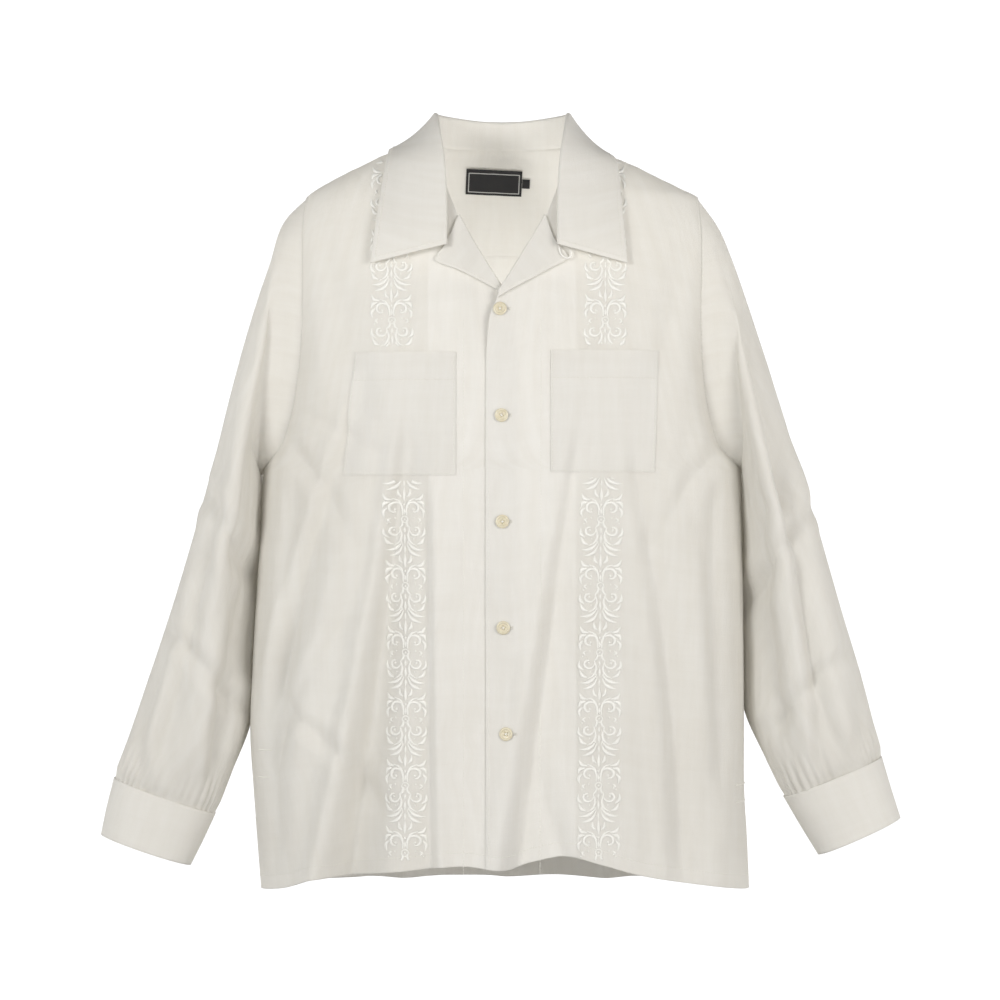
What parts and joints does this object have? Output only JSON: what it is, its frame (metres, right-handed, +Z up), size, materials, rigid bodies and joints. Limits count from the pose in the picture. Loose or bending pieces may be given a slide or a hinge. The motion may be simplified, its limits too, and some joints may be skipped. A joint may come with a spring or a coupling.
{
  "type": "long-sleeved camp collar shirt",
  "caption": "Long-sleeved button-up shirt with an open cuban collar, two chest pockets, barrel cuffs and side vents, filled out as worn, with nobody in it.",
  "frame": {"origin": "midway between the wearer's shoulders, level with the middle of the shoulder seams: the point that the wearer's shoulders hold", "axes": "+Z up, +X towards the wearer's left, -Y towards the front"},
  "size_m": [0.7664, 0.2235, 0.7434],
  "materials": {
    "cloth": "matte ivory cotton, plain weave",
    "button": "polished, cream",
    "label": "black woven damask"
  },
  "bodies": {
    "root": {"front_left": "cloth", "front_right": "cloth", "back": "cloth", "yoke": "cloth", "sleeve_left": "cloth", "sleeve_right": "cloth", "cuff_left": "cloth", "cuff_right": "cloth", "collar": "cloth", "lapel_left": "cloth", "lapel_right": "cloth", "pocket_left": "cloth", "pocket_right": "cloth", "loop": "cloth", "label": "label", "size_tab": "label", "button_1": "button", "button_2": "button", "button_3": "button", "button_4": "button", "button_5": "button", "button_top": "button", "button_cuff_left": "button", "button_cuff_right": "button"}
  },
  "joints": []
}
